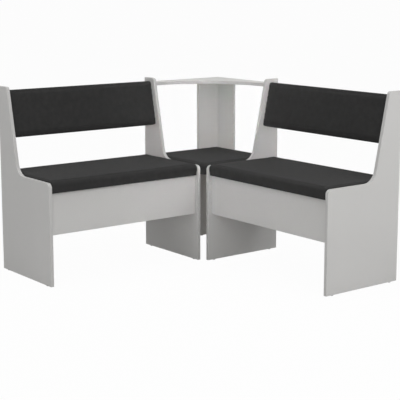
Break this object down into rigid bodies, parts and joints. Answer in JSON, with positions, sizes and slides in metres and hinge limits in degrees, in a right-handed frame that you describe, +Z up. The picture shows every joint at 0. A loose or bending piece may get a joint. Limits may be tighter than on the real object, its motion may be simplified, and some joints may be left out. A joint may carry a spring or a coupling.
{
  "type": "corner bench",
  "caption": "Corner bench of flat boards: lift-up upholstered seats over storage chests on both sides of a square corner seat, tilted backrests and a hollow-fronted corner shelf.",
  "frame": {"origin": "on the floor, under the middle of the square outline of the bench", "axes": "+Z up; the back corner is at -X +Y; the right bench runs along +X, the left bench along -Y"},
  "size_m": [1.274, 1.274, 0.85],
  "materials": {
    "faced_board": "matt light grey melamine facing on chipboard",
    "raw_chipboard": "raw chipboard",
    "upholstery": "fine anthracite upholstery cover over foam",
    "batten_pine": "planed softwood",
    "zinc_fitting": "die-cast zinc",
    "beech_dowel": "beech",
    "hinge_steel": "zinc-plated steel",
    "screw_steel": "zinc-plated steel",
    "glide_plastic": "pale moulded plastic"
  },
  "bodies": {
    "frame": {"left_outer_end_panel": "faced_board", "left_inner_end_panel": "faced_board", "left_apron": "faced_board", "left_chest_back": "faced_board", "left_chest_floor": "faced_board", "left_backrest_board": "raw_chipboard", "left_backrest_cushion": "upholstery", "left_chest_battens": "batten_pine", "left_cams": "zinc_fitting", "left_cam_bolts": "zinc_fitting", "left_dowels": "beech_dowel", "left_hinge_fixed_leaves": "hinge_steel", "left_hinge_pins": "hinge_steel", "left_chest_batten_screws": "screw_steel", "left_hinge_fixed_screws": "screw_steel", "left_glides": "glide_plastic", "right_outer_end_panel": "faced_board", "right_inner_end_panel": "faced_board", "right_apron": "faced_board", "right_chest_back": "faced_board", "right_chest_floor": "faced_board", "right_backrest_board": "raw_chipboard", "right_backrest_cushion": "upholstery", "right_chest_battens": "batten_pine", "right_cams": "zinc_fitting", "right_cam_bolts": "zinc_fitting", "right_dowels": "beech_dowel", "right_hinge_fixed_leaves": "hinge_steel", "right_hinge_pins": "hinge_steel", "right_chest_batten_screws": "screw_steel", "right_hinge_fixed_screws": "screw_steel", "right_glides": "glide_plastic", "corner_board_left": "faced_board", "corner_board_right": "faced_board", "corner_shelf": "faced_board", "corner_seat_board": "raw_chipboard", "corner_seat_cushion": "upholstery", "corner_panel_battens": "batten_pine", "corner_rear_battens": "batten_pine", "shelf_cams": "zinc_fitting", "shelf_cam_bolts": "zinc_fitting", "shelf_dowels": "beech_dowel", "corner_batten_screws": "screw_steel", "corner_seat_screws": "screw_steel", "corner_joining_screws": "screw_steel", "corner_glides": "glide_plastic"},
    "left_lid": {"left_seat_board": "raw_chipboard", "left_seat_cushion": "upholstery", "left_hinge_moving_leaves": "hinge_steel", "left_hinge_moving_screws": "screw_steel"},
    "right_lid": {"right_seat_board": "raw_chipboard", "right_seat_cushion": "upholstery", "right_hinge_moving_leaves": "hinge_steel", "right_hinge_moving_screws": "screw_steel"}
  },
  "joints": [
    {"name": "left_lid_hinge", "type": "hinge", "parent": "frame", "child": "left_lid", "pos_m": [-0.5783, -0.226, 0.4107], "axis": [0, -1, 0], "range_deg": [0, 61]},
    {"name": "right_lid_hinge", "type": "hinge", "parent": "frame", "child": "right_lid", "pos_m": [0.226, 0.5783, 0.4107], "axis": [-1, 0, 0], "range_deg": [0, 61]}
  ]
}
